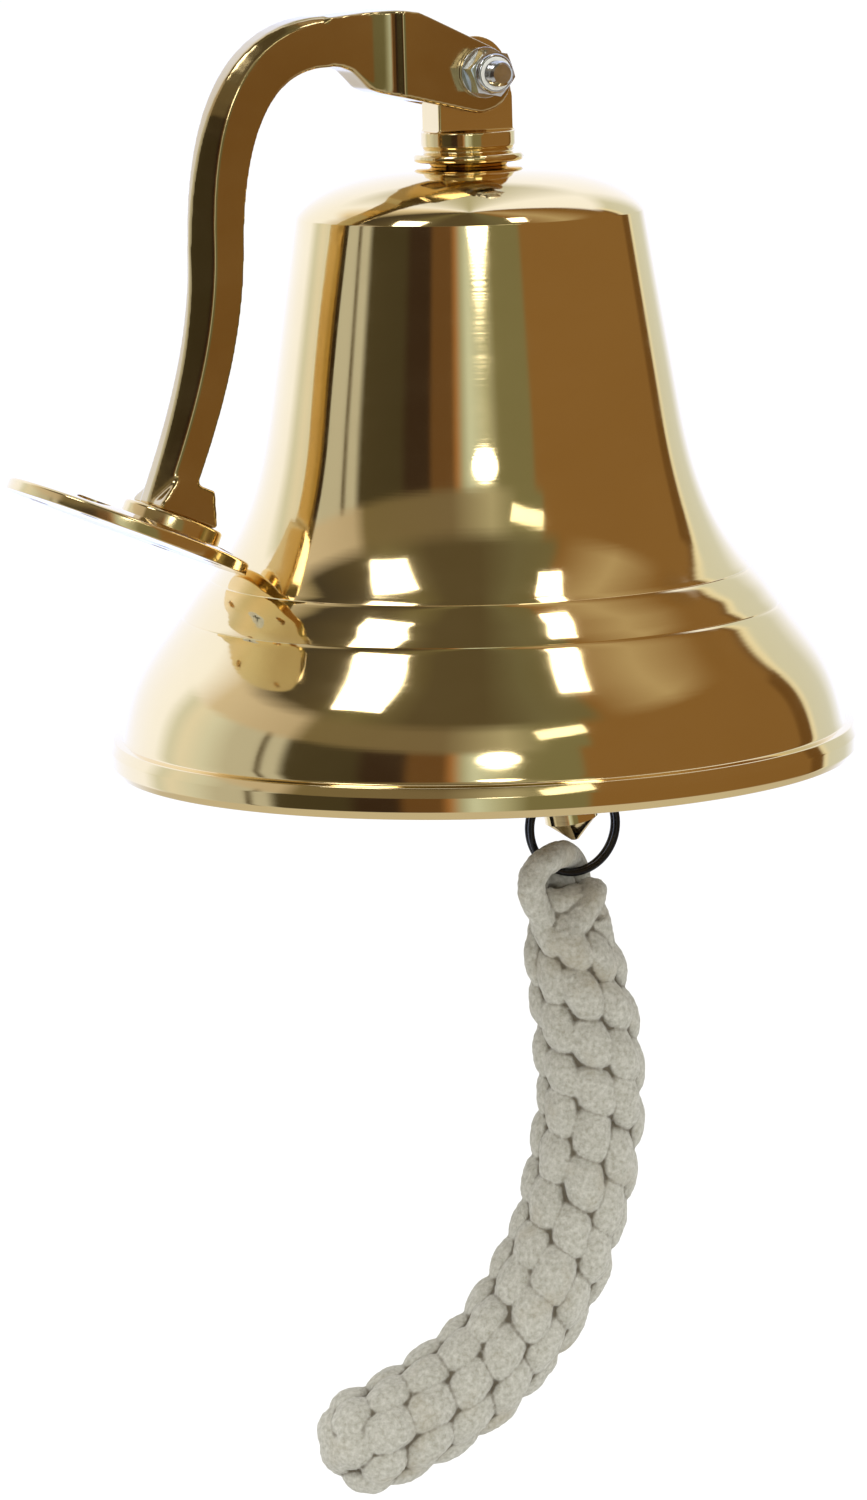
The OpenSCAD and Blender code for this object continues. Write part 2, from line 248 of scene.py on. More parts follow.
def remade(obj, voxel, rounds):
    """Remakes the mesh in cubes of a size in mm, and eases them."""
    grid = obj.modifiers.new("grid", "REMESH")
    grid.mode = "VOXEL"
    grid.voxel_size = voxel * MM
    ease = obj.modifiers.new("ease", "SMOOTH")
    ease.iterations = rounds
    ease.factor = 0.5
    applied(obj)
    obj.data.shade_smooth()
    return obj


def softened(name, mesh, voxel, rounds):
    """A copy of the mesh with every edge rounded, as a polished casting's are."""
    return remade(new_object(name, mesh.copy(), 0), voxel, rounds)


# ---------------------------------------------------------------- materials
def material(name):
    """A new material with its node tree and its shader."""
    mat = bpy.data.materials.new(name)
    mat.use_nodes = True
    tree = mat.node_tree
    tree.nodes.clear()
    out = tree.nodes.new("ShaderNodeOutputMaterial")
    shader = tree.nodes.new("ShaderNodeBsdfPrincipled")
    tree.links.new(shader.outputs[0], out.inputs[0])
    return mat, tree, shader


def add(tree, kind, inputs=None, **settings):
    """A new node. Each input is given a value or linked to a socket."""
    node = tree.nodes.new(kind)
    for key, value in settings.items():
        setattr(node, key, value)
    for key, value in (inputs or {}).items():
        if isinstance(value, bpy.types.NodeSocket):
            tree.links.new(value, node.inputs[key])
        else:
            node.inputs[key].default_value = value
    return node


def noise_at(tree, scale, detail=3.0, stretch=(1, 1, 1), roughness=0.5):
    """Noise in the object's own coordinates. scale is in cycles per metre."""
    where = add(tree, "ShaderNodeTexCoord")
    mapped = add(tree, "ShaderNodeMapping", {"Vector": where.outputs["Object"], "Scale": stretch})
    return add(tree, "ShaderNodeTexNoise", {"Vector": mapped.outputs[0], "Scale": scale, "Detail": detail,
                                           "Roughness": roughness}).outputs["Fac"]


def ramp(tree, fac, stops):
    node = add(tree, "ShaderNodeValToRGB", {"Fac": fac})
    marks = node.color_ramp.elements
    while len(marks) < len(stops):
        marks.new(0.5)
    for mark, (place, colour) in zip(marks, stops):
        mark.position = place
        mark.color = (*colour, 1) if len(colour) == 3 else colour
    return node.outputs["Color"]


def grey(low, high, from_low=0.0, from_high=1.0):
    """Two stops for a ramp from one grey to another."""
    return [(from_low, (low,) * 3), (from_high, (high,) * 3)]


def bumped(tree, shader, layers):
    """Stacks bumps. Each layer is (height socket, strength, distance in mm)."""
    last = None
    for height, strength, distance in layers:
        values = {"Height": height, "Strength": strength, "Distance": distance * MM}
        if last:
            values["Normal"] = last
        last = add(tree, "ShaderNodeBump", values).outputs[0]
    tree.links.new(last, shader.inputs["Normal"])


BRASS = (0.88, 0.70, 0.38)
BRASS_DULL = (0.66, 0.46, 0.20)
NYLON_PALE = (0.80, 0.80, 0.74)
NYLON_DARK = (0.70, 0.69, 0.62)
COTTON_DARK = (0.34, 0.325, 0.26)
COTTON_PALE = (0.56, 0.545, 0.475)
STAIN = (0.36, 0.31, 0.21, 1)
# Painted shade laid into the rope's creases and hollows.
CREASE_SHADE = (0.13, 0.11, 0.075, 1)


def brass(name, rough=(0.05, 0.11), lines=0.0, waves=0.0, dull=0.25, cast=0.0, tone=1.0):
    """Polished brass. lines are turning marks, waves are a hand-finished face's, cast is a sand casting's
    grain, and tone darkens it. dull is how far its patches go towards dull brass."""
    mat, tree, shader = material(name)
    shader.inputs["Metallic"].default_value = 1.0
    patches = noise_at(tree, 26, 4)
    clean = tuple(c * tone for c in BRASS)
    dulled = tuple((a + (b - a) * dull) * tone for a, b in zip(BRASS, BRASS_DULL))
    colour = ramp(tree, patches, [(0.35, clean), (0.75, dulled)])
    tree.links.new(colour, shader.inputs["Base Color"])
    smear = noise_at(tree, 70, 5, (1, 1, 2.5), 0.6)
    tree.links.new(ramp(tree, smear, grey(rough[0], rough[1], 0.3, 0.75)), shader.inputs["Roughness"])
    layers = []
    if lines:
        layers.append((noise_at(tree, 1400, 2, (0.012, 0.012, 1)), lines, 0.05))
        layers.append((noise_at(tree, 330, 2, (0.02, 0.02, 1)), lines, 0.08))
    if waves:
        layers.append((noise_at(tree, 60, 2), waves, 0.5))
    if cast:
        layers.append((noise_at(tree, 900, 4), cast, 0.25))
    fine_grain = (noise_at(tree, 2600, 2), 0.03, 0.02)
    bumped(tree, shader, layers + [fine_grain])
    return mat


def plated(name, colour, rough, metallic=1.0):
    """Plated steel, a little darker and rougher in patches."""
    mat, tree, shader = material(name)
    shader.inputs["Metallic"].default_value = metallic
    tint = tuple(c * 0.8 for c in colour)
    colours = ramp(tree, noise_at(tree, 300, 3), [(0.35, colour), (0.7, tint)])
    tree.links.new(colours, shader.inputs["Base Color"])
    roughness = ramp(tree, noise_at(tree, 500, 4), grey(rough, rough * 1.8, 0.35, 0.7))
    tree.links.new(roughness, shader.inputs["Roughness"])
    bumped(tree, shader, [(noise_at(tree, 700, 3), 0.15, 0.1)])
    return mat


def nylon():
    mat, tree, shader = material("nylon")
    colours = ramp(tree, noise_at(tree, 400, 2), [(0.3, NYLON_PALE), (0.7, NYLON_DARK)])
    tree.links.new(colours, shader.inputs["Base Color"])
    shader.inputs["Roughness"].default_value = 0.45
    shader.inputs["Subsurface Weight"].default_value = 0.2
    shader.inputs["Subsurface Radius"].default_value = (0.002, 0.002, 0.002)
    bumped(tree, shader, [(noise_at(tree, 1500, 2), 0.1, 0.05)])
    return mat


def cotton():
    """Soiled cotton cord: fine fibres, small lumps of yarn and stains, with painted shade in the creases."""
    mat, tree, shader = material("cotton")
    fibres = noise_at(tree, 900, 4, (1, 1, 1), 0.6)
    base = ramp(tree, fibres, [(0.3, COTTON_DARK), (0.7, COTTON_PALE)])
    stain = ramp(tree, noise_at(tree, 75, 3), grey(0.0, 0.6, 0.56, 0.76))
    stained = add(tree, "ShaderNodeMix", {0: stain, 6: base, 7: STAIN}, data_type="RGBA")
    # Painted shade: the rope's crease attribute darkens the stained cotton towards the crease colour.
    crease_shade = add(tree, "ShaderNodeAttribute", attribute_name="crease_shade")
    shade = ramp(tree, crease_shade.outputs["Fac"], grey(0.0, 1.0, 0.05, 0.9))
    crease_shaded = add(tree, "ShaderNodeMix", {0: shade, 6: stained.outputs[2], 7: CREASE_SHADE}, data_type="RGBA")
    tree.links.new(crease_shaded.outputs[2], shader.inputs["Base Color"])
    shader.inputs["Roughness"].default_value = 0.95
    shader.inputs["Sheen Weight"].default_value = 0.25
    shader.inputs["Sheen Roughness"].default_value = 0.5
    shader.inputs["Specular IOR Level"].default_value = 0.15
    yarn = (noise_at(tree, 420, 3), 0.5, 0.7)
    nap = (noise_at(tree, 2200, 4, (1, 1, 0.45), 0.7), 1.0, 0.4)
    bumped(tree, shader, [yarn, nap])
    return mat


BELL_BRASS = brass("brass_turned", (0.05, 0.10), lines=0.1, dull=0.15)
INNER_BRASS = brass("brass_inside", (0.32, 0.48), lines=0.35, dull=0.8, cast=0.3)
ARM_BRASS = brass("brass_casting", (0.06, 0.16), waves=0.14, dull=0.8, cast=0.015, tone=0.74)
PLATE_BRASS = brass("brass_plate", (0.08, 0.2), waves=0.12, dull=0.5, cast=0.02)
STEM_BRASS = brass("brass_stem", (0.06, 0.14), lines=0.15, dull=0.25)
ZINC = plated("zinc_steel", (0.72, 0.73, 0.76), 0.12)
BLACK_STEEL = plated("black_steel", (0.035, 0.036, 0.04), 0.16, 0.85)
NYLON = nylon()
COTTON = cotton()


def piece(obj, body, slot, mat, *nodes):
    """Puts a finished piece on its body, in place of the CAD nodes it stands for."""
    obj.data.materials.clear()
    for one in (mat if isinstance(mat, (list, tuple)) else [mat]):
        obj.data.materials.append(one)
    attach(obj, body)
    if nodes:
        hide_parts(*nodes)
    return obj


def facing_y():
    """The pivot bolt's middle, with its local Z along +Y."""
    return Matrix.Translation(at(0, 0, 0)) @ Matrix.Rotation(-math.pi / 2, 4, "X")


# ---------------------------------------------------------------- lanyard
ROUTE = [(19.5, -197), (20.5, -206), (22.5, -216), (24.5, -226), (25.5, -236), (26, -246),
         (25, -256), (23, -266), (20, -276), (16, -286), (10.5, -295), (3.5, -304),
         (-5, -312), (-15, -318), (-26, -322.5), (-37, -326), (-47, -329)]
BRAID_R_TOP = 9.5
BRAID_R_FULL = 13.5
FULL_FROM = 0.3
CORD_SIDES = 16
STRAND_STEPS = 6


def spans(points):
    """Four points for each span of a Catmull-Rom line, which goes from the second to the third."""
    pts = [Vector(p) for p in points]
    pts = [pts[0] * 2 - pts[1]] + pts + [pts[-1] * 2 - pts[-2]]
    return list(zip(pts, pts[1:], pts[2:], pts[3:]))


def on_span(span, t):
    a, b, c, d = span
    return 0.5 * (2 * b + (c - a) * t + (2 * a - 5 * b + 4 * c - d) * t * t
                  + (3 * b - a - 3 * c + d) * t ** 3)


def smooth_line(points, per_span=8):
    """A line through points in the bracket's plane, in mm."""
    out = [on_span(span, k / per_span) for span in spans(points) for k in range(per_span)]
    return out + [Vector(points[-1])]


LINE = smooth_line(ROUTE)
STEPS = [(b - a).length for a, b in zip(LINE, LINE[1:])]
BRAID_LENGTH = sum(STEPS)


def on_line(s):
    """Point, direction and left-hand normal at a distance along the braid, in mm."""
    if s <= 0:
        way = (LINE[1] - LINE[0]).normalized()
        return LINE[0] + way * s, way, Vector((-way[1], way[0]))
    run = 0.0
    for i, step in enumerate(STEPS):
        if run + step >= s or i == len(STEPS) - 1:
            way = (LINE[i + 1] - LINE[i]).normalized()
            lo, hi = max(0, i - 3), min(len(LINE) - 1, i + 4)
            smooth_way = (LINE[hi] - LINE[lo]).normalized()
            return LINE[i] + way * (s - run), smooth_way, Vector((-smooth_way[1], smooth_way[0]))
        run += step


TIP_FROM = BRAID_LENGTH - BRAID_R_FULL


def braid_radius(s):
    """The braid swells from its top to its full thickness."""
    u = max(0.0, s / BRAID_LENGTH)
    if u < FULL_FROM:
        return BRAID_R_TOP + (BRAID_R_FULL - BRAID_R_TOP) * math.sin(u / FULL_FROM * math.pi / 2)
    return BRAID_R_FULL


def on_braid(s, angle, sink):
    """A point at a depth under the braid's skin, which ends in a half ball. s runs along the skin.
    Angle 0 is on the braid's right and rises towards the back."""
    centre, way, normal = on_line(min(s, TIP_FROM))
    lean = max(0.0, s - TIP_FROM) / BRAID_R_FULL
    radius = braid_radius(s) - sink
    flat = centre + normal * radius * math.cos(lean) * math.cos(angle) + way * radius * math.sin(lean)
    return at(flat[0], radius * math.cos(lean) * math.sin(angle), flat[1])


COLUMNS = 8
COLUMN_SHIFT = 3 / 8
PITCH = 12.0
LUMP_HALF = 8.4
LUMP_TILT = math.radians(20)
LUMP_FLAT = 0.78
LUMP_SIZE = 0.375
LUMP_STEPS = 12
BURY_UPPER = 4.6
BURY_LOWER = 0.9
FIRST_LUMP = 5
CORE = 0.7
CORE_STEPS = 60
CORE_SIDES = 20
BALL_STEPS = 6


def lump(s, angle, rng):
    """One bight of cord: its upper end comes out from under its neighbour, and its lower end lies on top."""
    path, radii = [], []
    full = braid_radius(s)
    size = (LUMP_SIZE + rng.uniform(-0.02, 0.025)) * full
    out = on_braid(s, angle, 0) - on_braid(s, angle, 2)
    s += rng.uniform(-0.9, 0.9)
    tilt = LUMP_TILT + rng.uniform(-0.2, 0.2)
    lift = rng.uniform(-0.35, 0.35)
    for k in range(LUMP_STEPS + 1):
        u = -1 + 2 * k / LUMP_STEPS
        here = s + LUMP_HALF * u * math.cos(tilt) * (0.75 + 0.25 * full / BRAID_R_FULL)
        turn = angle + LUMP_HALF * u * math.sin(tilt) / full
        bury = BURY_UPPER * max(0.0, -u) ** 1.5 + BURY_LOWER * max(0.0, u) ** 4
        path.append(on_braid(here, turn, size * LUMP_FLAT * 0.96 + bury - lift))
        radii.append(size * (1 - 0.5 * u ** 4) * MM)
    return tube(path, radii, CORD_SIDES, LUMP_FLAT, out)


def braid():
    """The lumps in their columns over a plain core."""
    rng = random.Random(7)
    runs = [TIP_FROM * k / CORE_STEPS for k in range(CORE_STEPS + 1)]
    core = [(on_braid(s, 0, braid_radius(s)), braid_radius(s) * CORE) for s in runs]
    end, way, _ = on_line(TIP_FROM)
    ball = BRAID_R_FULL * CORE
    for k in range(1, BALL_STEPS + 1):
        a = math.pi / 2 * k / (BALL_STEPS + 0.2)
        ahead = end + way * ball * math.sin(a)
        core.append((at(ahead[0], 0, ahead[1]), ball * math.cos(a)))
    parts = [tube([p for p, _ in core], [r * MM for _, r in core], CORE_SIDES)]
    rows = int(BRAID_LENGTH / PITCH) + 3
    for j in range(COLUMNS):
        last = TIP_FROM + BRAID_R_FULL * (1.25 if j % 2 else 0.8)
        for i in range(-COLUMNS, rows):
            s = (i + j * COLUMN_SHIFT) * PITCH
            if FIRST_LUMP < s < last:
                parts.append(lump(s, 2 * math.pi * (j + 0.5) / COLUMNS, rng))
    over_the_tip = lump(TIP_FROM + BRAID_R_FULL * math.pi / 2, 0.6, rng)
    return parts + [over_the_tip]


def strand(points, radius):
    """A smooth cord through points in mm from the pivot."""
    path = [at(*points[0])]
    for span in spans(points):
        path += [at(*on_span(span, k / STRAND_STEPS)) for k in range(1, STRAND_STEPS + 1)]
    return tube(path, radius * MM, CORD_SIDES)


# The eye comes up in front of the ring's wire on the left, goes over it, and down behind it on the right.
# The shoulders are the braid's first bights, which fill the space under and behind the wire. Each has its
# radius.
EYE = [(13.2, -3.6, -203), (10.0, -4.8, -198.2), (8.9, -5.4, -193.4), (11.0, -5.5, -189.4),
       (14.8, -4.5, -187.9), (18.6, -1.2, -187.9), (22.6, 3.0, -189.2), (25.4, 5.3, -192.2),
       (26.2, 5.4, -196), (25.0, 4.0, -201)]
EYE_CORD_R = 3.35
SHOULDERS = [([(13.5, 3.4, -194.5), (15.5, 5.0, -193.4), (20.5, 5.4, -194.2), (22, 4.5, -199)], 3.9),
             ([(27.4, -0.6, -197.2), (25.2, -3.6, -199.2), (20.8, -5.8, -203.4), (16.4, -5.8, -208.6)], 3.7),
             ([(14.0, -1.6, -198.2), (15.6, -3.4, -199.2), (19.5, -3.4, -198.8), (23.2, -1.2, -198.4)], 3.3),
             ([(25.6, -4.2, -203.5), (27.2, -3.6, -208.5), (28.4, -3.0, -214)], 3.9)]


def cavity(mesh, spots, outs, rounds=8):
    """How far each vertex lies below its neighbourhood, in metres."""
    pairs = np.empty(len(mesh.edges) * 2, np.int32)
    mesh.edges.foreach_get("vertices", pairs)
    a, b = pairs.reshape(-1, 2).T
    count = len(spots)
    degree = np.bincount(pairs, minlength=count)
    mean = spots.astype(np.float64)
    for _ in range(rounds):
        mean = np.stack([(np.bincount(a, mean[b, n], count) + np.bincount(b, mean[a, n], count)) / degree
                         for n in range(3)], axis=1)
    return ((mean - spots) * outs).sum(1)


ROPE_VOXEL = 0.42
SPINE_STEPS = 120
# The painted shade in the rope's hollows and creases: its strength, and the depths over which it grows.
HOLLOW_SHADE = 0.45
HOLLOW_FROM = 1.3
HOLLOW_SPAN = 1.9
CAVITY_SPAN = 0.22
CAVITY_SHADE = 0.75


def fuzz(p):
    """How far the skin stands out at a point, in mm."""
    return noise.noise(Vector(p) * 900) * 0.14 + noise.noise(Vector(p) * 260) * 0.3


def lanyard():
    """The whole rope as one skin, with how much painted shade each place takes in its creases."""
    verts, faces = [], []
    for part in braid() + [strand(EYE, EYE_CORD_R)] + [strand(*one) for one in SHOULDERS]:
        start = len(verts)
        verts.extend(part[0])
        faces.extend([[start + i for i in f] for f in part[1]])
    obj = new_object("lanyard_rope", mesh_of("lanyard_rope", verts, faces), 0)
    mesh = remade(obj, ROPE_VOXEL, 2).data
    count = len(mesh.vertices)
    spots, outs = np.empty(count * 3, np.float32), np.empty(count * 3, np.float32)
    mesh.vertices.foreach_get("co", spots)
    mesh.vertex_normals.foreach_get("vector", outs)
    spots, outs = spots.reshape(-1, 3), outs.reshape(-1, 3)
    runs = [k * TIP_FROM / SPINE_STEPS for k in range(SPINE_STEPS + 1)]
    spine = np.array([on_braid(s, 0, braid_radius(s)) for s in runs])
    full = np.array([braid_radius(s) for s in runs])
    far = np.linalg.norm(spots[:, None, :] - spine[None, :, :], axis=2)
    near = far.argmin(1)
    depth = full[near] - far[np.arange(count), near] / MM
    below_the_eye = np.clip((near - 3) / 6, 0, 1)
    # Painted shade: darker where the skin lies deep under the braid's surface and where it sits below its
    # neighbours, kept as an attribute for the cotton.
    hollow_shade = HOLLOW_SHADE * np.clip((depth - HOLLOW_FROM) / HOLLOW_SPAN, 0, 1) * below_the_eye
    painted_shade = np.clip(hollow_shade + np.clip(cavity(mesh, spots, outs) / MM / CAVITY_SPAN - 0.2, 0, CAVITY_SHADE), 0, 1)
    mesh.attributes.new("crease_shade", "FLOAT", "POINT").data.foreach_set("value", painted_shade.astype(np.float32))
    spots += outs * np.array([fuzz(p) for p in spots])[:, None].astype(np.float32) * MM
    mesh.vertices.foreach_set("co", spots.ravel())
    mesh.shade_smooth()
    return obj


rope = piece(lanyard(), "lanyard", "cotton", COTTON, "lanyard_braid", "lanyard_eye")


# ---------------------------------------------------------------- bell
# Points of the bell's outline are (radius, height above SHOULDER_Z).
SHOULDER_Z = -33
SHOULDER = (41.2, 0)
WAIST_SPREAD = 7.5
WAIST_HIGH = 46.5
WAIST_END = (48.7, -46.5)
FLARE_MIDDLE = (68.2, -88.8)
RIM_TOP = (86, -121.3)
INNER_RIM = (80.2, -128.2)
INNER_FLARE = (64.2, -91)
INNER_WAIST = (45.1, -46.5)
INNER_SHOULDER = (37.8, -3)
BORE_R = 5.2
CROWN_Z = 11
CEILING_Z = 5.6
INNER_LOW = -128.6
# The two grooves' heights, and a groove's section: along the bell's side, and in from it
GROOVES = (-84.4, -93.1)
GROOVE = ((0.42, 0), (0.3, 0.12), (0.12, 0.4), (-0.12, 0.4), (-0.3, 0.12), (-0.42, 0))
GROOVE_CLEAR = 0.55


def grooved(flare):
    """The flare's outline with its two turned grooves."""
    out = [p for p in flare if all(abs(p[1] - g) >= GROOVE_CLEAR for g in GROOVES)]
    for g in GROOVES:
        around = [p for p in flare if abs(p[1] - g) < 4]
        slope = (around[-1][0] - around[0][0]) / (around[-1][1] - around[0][1])
        middle = min(around, key=lambda p: abs(p[1] - g))
        r = middle[0] + slope * (g - middle[1])
        length = math.hypot(1, slope)
        for along, depth in GROOVE:
            out.append((r + (slope * along - depth) / length, g + (along - depth * slope) / length))
    return sorted(out, key=lambda p: -p[1])


def bell():
    """The bell's shell, turned from one outline round its wall."""
    waist = [(*SHOULDER, 0.5)]
    waist += [(SHOULDER[0] + WAIST_SPREAD * k / 8, -WAIST_HIGH * k / 8) for k in range(1, 9)]
    flare = bezier(WAIST_END, (53.5, -76.5), (63.5, -82), FLARE_MIDDLE, 40)
    flare += bezier(FLARE_MIDDLE, (78.4, -103), (83, -105.5), RIM_TOP, 40)
    lip = [(86.15, -121.6, 0.35), (88.0, -121.9, 0.4), (88.9, -124.2, 1), (88.95, -127.4, 1.2),
           (88.0, -129.1, 0.8), (86, -129.3, 1), (*INNER_RIM, 0.4)]
    inner = bezier(INNER_RIM, (79.5, -106), (73.5, -104), INNER_FLARE, 24)
    inner += bezier(INNER_FLARE, (57, -81), (49.5, -76), INNER_WAIST, 24)
    inner += [(41.5, -24), INNER_SHOULDER]
    inner += bezier(INNER_SHOULDER, (34, 1.2), (25, CEILING_Z), (14, CEILING_Z), 10)
    inner += [(BORE_R, CEILING_Z)]
    crown = [(BORE_R, CROWN_Z), (11, CROWN_Z)]
    crown += bezier((11, CROWN_Z), (25, CROWN_Z), (38, 6.2), SHOULDER, 30)[:-1]
    outline = filleted(crown + waist + grooved(flare) + lip + inner)
    return lathe("bell_shell", outline, Matrix.Translation(at(0, 0, SHOULDER_Z)), 360, loop=True, sharp=24)


def inner_faces(obj, low):
    """Gives the second material to the faces above a height that look towards the bell's axis."""
    for face in obj.data.polygons:
        out = Vector((face.center.x - PIVOT.x, face.center.y - PIVOT.y, 0))
        face.material_index = 1 if face.normal.dot(out) < 0 and face.center.z > low else 0


bell_shell = bell()
piece(bell_shell, "bell", "brass", (BELL_BRASS, INNER_BRASS), "bell_body")
inner_faces(bell_shell, at(0, 0, SHOULDER_Z + INNER_LOW).z)


# ---------------------------------------------------------------- bracket
arm = softened("swan_neck_arm", frame["nodes"]["bracket_arm"].data, 0.45, 12)
piece(arm, "bracket", "brass", ARM_BRASS, "bracket_arm")

PLATE_R = 29.5
PLATE_T = 2.8
PLATE_FLAT_R = 22.4
PLATE_TOP = 4.0
SCREW_CIRCLE_R = 23
SCREW_HOLE_R = 2.25
SINK_R = 4.2
SINK_LOW = 1.6
SINK_HIGH = 3.4
FOOT_X = 10
FOOT_SCREW_R = 2.55
FOOT_SINK_R = 5
FOOT_SINK_HIGH = 2.4
COLLAR_R = 12
COLLAR_BORE_R = 2.6
COLLAR_TOP = 7.6
ABOVE_PLATE = 6


def on_wall(x=0.0, y=0.0):
    """A place on the wall plate's back, with its local Z out of the wall."""
    return Matrix.Rotation(PLATE_LEAN, 4, "Y") @ Matrix.Translation(Vector((x, y, 0)) * MM)


def wall_plate():
    """The crowned plate with its countersunk holes."""
    outline = filleted([(0, 0), (PLATE_R, 0, 0.3), (PLATE_R, PLATE_T, 0.8), (PLATE_FLAT_R, PLATE_TOP, 12),
                        (0, PLATE_TOP)], 8)
    plate = lathe("back_plate", outline, on_wall())
    sink = [(0, -1), (SCREW_HOLE_R, -1), (SCREW_HOLE_R, SINK_LOW), (SINK_R, SINK_HIGH), (SINK_R, ABOVE_PLATE),
            (0, ABOVE_PLATE)]
    for k in range(4):
        a = math.radians(45 + 90 * k)
        x, y = SCREW_CIRCLE_R * math.cos(a), SCREW_CIRCLE_R * math.sin(a)
        cut(plate, lathe("sink", sink, on_wall(x, y), 48))
    foot_hole = [(0, -1), (FOOT_SINK_R, 0), (FOOT_SCREW_R, FOOT_SINK_HIGH), (FOOT_SCREW_R, ABOVE_PLATE),
                 (0, ABOVE_PLATE)]
    cut(plate, lathe("foot_hole", foot_hole, on_wall(FOOT_X), 48))
    return chamfered(plate, 0.2)


piece(wall_plate(), "bracket", "brass", PLATE_BRASS, "wall_plate")
collar_outline = filleted([(COLLAR_BORE_R, PLATE_TOP), (COLLAR_R, PLATE_TOP), (COLLAR_R, COLLAR_TOP, 0.9),
                           (COLLAR_BORE_R, COLLAR_TOP)])
collar = lathe("foot_step", collar_outline, on_wall(FOOT_X), 128, loop=True)
piece(collar, "bracket", "brass", PLATE_BRASS, "foot_collar")


# ---------------------------------------------------------------- crown stem
stem = softened("stem_tongue", frame["nodes"]["crown_stem"].data, 0.3, 3)
piece(stem, "bell", "brass", STEM_BRASS, "crown_stem")


# ---------------------------------------------------------------- fasteners
HEX_FLATS = 10
HEX_CROWN = 0.5


def hexagon(name, low, high, place):
    """A hexagonal prism with its corners turned off at the top end."""
    corner = HEX_FLATS / math.sqrt(3)
    top_r = HEX_FLATS / 2 * 0.97
    prism = lathe(name, [(0, low), (corner, low), (corner, high), (0, high)], place, 6)
    outline = [(0, low - 1), (corner + 1, low - 1), (corner + 1, high - (corner + 1 - top_r) * HEX_CROWN),
               (top_r, high), (0, high)]
    cut(prism, lathe("turned", outline, place, 96), "INTERSECT")
    return chamfered(prism, 0.12)


THREAD_DEPTH = 0.34
THREAD_PITCH = 1.0
THREAD_R = 2.98
THREAD_AROUND = 64
THREAD_PER_TURN = 14
THREAD_END_R = THREAD_R - 0.75


def threaded(name, low, high, place):
    """A rod with a helical thread and a broken end at low."""
    verts = []
    rows = int((high - low) / THREAD_PITCH * THREAD_PER_TURN)
    for i in range(rows + 1):
        z = low + (high - low) * i / rows
        for k in range(THREAD_AROUND):
            a = 2 * math.pi * k / THREAD_AROUND
            phase = (z / THREAD_PITCH - k / THREAD_AROUND) % 1
            depth = THREAD_DEPTH * (1 - abs(2 * phase - 1)) * min(1, (high - z) / THREAD_PITCH)
            r = min(THREAD_R - depth, THREAD_END_R + (z - low) * 1.1)
            verts.append(place @ (Vector((r * math.cos(a), r * math.sin(a), z)) * MM))
    mesh = mesh_of(name, verts, capped(rows + 1, THREAD_AROUND))
    outward(mesh)
    return new_object(name, mesh, 35)


FORK_FACE = 9.25
WASHER_T = 1.4
NUT_FACE = FORK_FACE + WASHER_T
NUT_HIGH = 4.8
NUT_END = NUT_FACE + 6.2
NUT_TURN = math.radians(11)
HEAD_HIGH = 4
BOLT_PAST_NUT = 3.4
NUT_COLLAR_R = 4.58
NUT_BORE_R = 3.02
NUT_WIDE_R = 3.85
NUT_WIDE_LONG = 1.2
WASHER_R = 5.95
WASHER_BORE_R = 3.2
WASHERS = (("bolt_washer", FORK_FACE, "washer_head_side"), ("nut_washer", -NUT_FACE, "washer_nut_side"))

head = hexagon("bolt_head", NUT_FACE, NUT_FACE + HEAD_HIGH, facing_y())
piece(head, "bracket", "zinc", ZINC, "pivot_bolt")
thread = threaded("bolt_thread", -NUT_END - BOLT_PAST_NUT, NUT_FACE + 0.2, facing_y())
piece(thread, "bracket", "zinc", ZINC)

for node, y, name in WASHERS:
    ring = filleted([(WASHER_BORE_R, y), (WASHER_R, y, 0.2), (WASHER_R, y + WASHER_T, 0.25),
                     (WASHER_BORE_R, y + WASHER_T, 0.1)])
    piece(lathe(name, ring, facing_y(), 96, loop=True), "bracket", "zinc", ZINC, node)


def lock_nut():
    """The hexagon with its round collar, bored for the bolt and wider for the nylon."""
    flip = facing_y() @ Matrix.Rotation(math.pi, 4, "X")
    nut = hexagon("nut_hex", NUT_FACE, NUT_FACE + NUT_HIGH, flip @ Matrix.Rotation(-NUT_TURN, 4, "Z"))
    top = NUT_END - 0.02
    round_part = filleted([(0, NUT_FACE + 1), (NUT_COLLAR_R, NUT_FACE + 1), (NUT_COLLAR_R, top, 0.7),
                           (4.0, top), (0, top)])
    cut(nut, lathe("collar", round_part, flip, 96), "UNION")
    step = NUT_END - NUT_WIDE_LONG
    bore = [(0, NUT_FACE - 1), (NUT_BORE_R, NUT_FACE - 1), (NUT_BORE_R, step), (NUT_WIDE_R, step),
            (NUT_WIDE_R, NUT_END + 1), (0, NUT_END + 1)]
    cut(nut, lathe("bore", bore, flip, 64))
    return chamfered(nut, 0.08)


piece(lock_nut(), "bracket", "zinc", ZINC, "lock_nut")


# ---------------------------------------------------------------- split ring
RING_R = 11.4
RING_WIRE_R = 0.8245
RING_STEPS = 240
RING_START = 95
RING_TURN = 2 * 360 - 8
RING_SIDE = 0.82
JOG_FROM = 0.44
JOG_LONG = 0.12


def split_ring():
    """Two turns of wire side by side, joined by a jog."""
    path = []
    for k in range(RING_STEPS + 1):
        along = k / RING_STEPS
        a = math.radians(RING_START + RING_TURN * along)
        y = -RING_SIDE + 2 * RING_SIDE * max(0.0, min(1.0, (along - JOG_FROM) / JOG_LONG))
        path.append(RING + Vector((RING_R * math.cos(a), y, RING_R * math.sin(a))) * MM)
    verts, faces = tube(path, RING_WIRE_R * MM, 16)
    mesh = mesh_of("key_ring", verts, faces)
    outward(mesh)
    return new_object("key_ring", mesh, 40)


piece(split_ring(), "ring", "black_steel", BLACK_STEEL, "split_ring")

